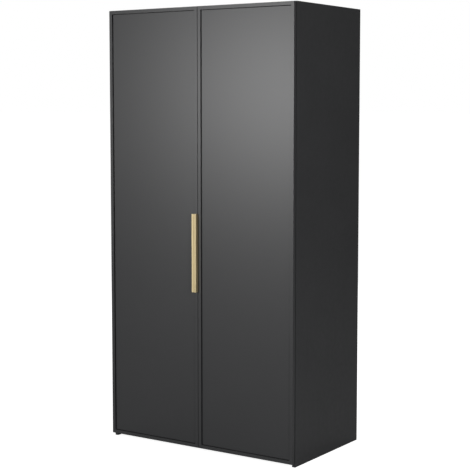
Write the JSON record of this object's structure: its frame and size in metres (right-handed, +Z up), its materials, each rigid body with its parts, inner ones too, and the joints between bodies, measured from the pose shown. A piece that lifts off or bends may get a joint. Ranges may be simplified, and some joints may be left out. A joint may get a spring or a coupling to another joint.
{
  "type": "wardrobe with doors",
  "caption": "Tall dark free-standing wardrobe with slim-framed overlay doors on cup hinges, a gold channel handle, a hat shelf and a hanging rail.",
  "frame": {"origin": "on the floor, under the middle of the bounding box", "axes": "+Z up, doors face -Y, +X to the right of a person facing the doors"},
  "size_m": [1, 0.595, 2],
  "materials": {
    "carcass_board": "satin anthracite melamine on particle board",
    "door_board": "satin anthracite lacquer or foil on fibreboard",
    "back_board": "matt dark hardboard",
    "handle_gold": "brushed, gold anodised",
    "fitting_steel": "nickel plated",
    "rail_metal": "dark satin paint",
    "dark_plastic": "moulded",
    "bumper": "clear soft stop"
  },
  "bodies": {
    "carcass": {"left_side_panel": "carcass_board", "right_side_panel": "carcass_board", "top_panel": "carcass_board", "bottom_panel": "carcass_board", "plinth_front": "carcass_board", "plinth_rear": "carcass_board", "back_panel_left": "back_board", "back_panel_right": "back_board", "back_joint_strip": "dark_plastic", "hat_shelf": "carcass_board", "hanging_rail": "rail_metal", "rail_bracket_left": "dark_plastic", "rail_bracket_right": "dark_plastic", "wall_bracket_left": "fitting_steel", "wall_bracket_right": "fitting_steel", "shelf_pin_1": "fitting_steel", "shelf_pin_2": "fitting_steel", "shelf_pin_3": "fitting_steel", "shelf_pin_4": "fitting_steel", "left_hinge_1_arm": "fitting_steel", "left_hinge_2_arm": "fitting_steel", "left_hinge_3_arm": "fitting_steel", "left_hinge_4_arm": "fitting_steel", "left_hinge_1_plate": "fitting_steel", "left_hinge_2_plate": "fitting_steel", "left_hinge_3_plate": "fitting_steel", "left_hinge_4_plate": "fitting_steel", "right_hinge_1_arm": "fitting_steel", "right_hinge_2_arm": "fitting_steel", "right_hinge_3_arm": "fitting_steel", "right_hinge_4_arm": "fitting_steel", "right_hinge_1_plate": "fitting_steel", "right_hinge_2_plate": "fitting_steel", "right_hinge_3_plate": "fitting_steel", "right_hinge_4_plate": "fitting_steel"},
    "left_door": {"left_door_leaf": "door_board", "left_hinge_1_cup": "fitting_steel", "left_hinge_2_cup": "fitting_steel", "left_hinge_3_cup": "fitting_steel", "left_hinge_4_cup": "fitting_steel", "left_hinge_1_pin": "fitting_steel", "left_hinge_2_pin": "fitting_steel", "left_hinge_3_pin": "fitting_steel", "left_hinge_4_pin": "fitting_steel", "handle_profile": "handle_gold", "handle_screw_upper": "fitting_steel", "handle_screw_lower": "fitting_steel", "door_bumper_1": "bumper", "door_bumper_2": "bumper"},
    "right_door": {"right_door_leaf": "door_board", "right_hinge_1_cup": "fitting_steel", "right_hinge_2_cup": "fitting_steel", "right_hinge_3_cup": "fitting_steel", "right_hinge_4_cup": "fitting_steel", "right_hinge_1_pin": "fitting_steel", "right_hinge_2_pin": "fitting_steel", "right_hinge_3_pin": "fitting_steel", "right_hinge_4_pin": "fitting_steel", "door_bumper_3": "bumper", "door_bumper_4": "bumper"}
  },
  "joints": [
    {"name": "left_door_hinge", "type": "hinge", "parent": "carcass", "child": "left_door", "pos_m": [-0.4912, -0.2712, 0], "axis": [0, 0, -1], "range_deg": [0, 95]},
    {"name": "right_door_hinge", "type": "hinge", "parent": "carcass", "child": "right_door", "pos_m": [0.4912, -0.2712, 0], "axis": [0, 0, 1], "range_deg": [0, 95]}
  ]
}
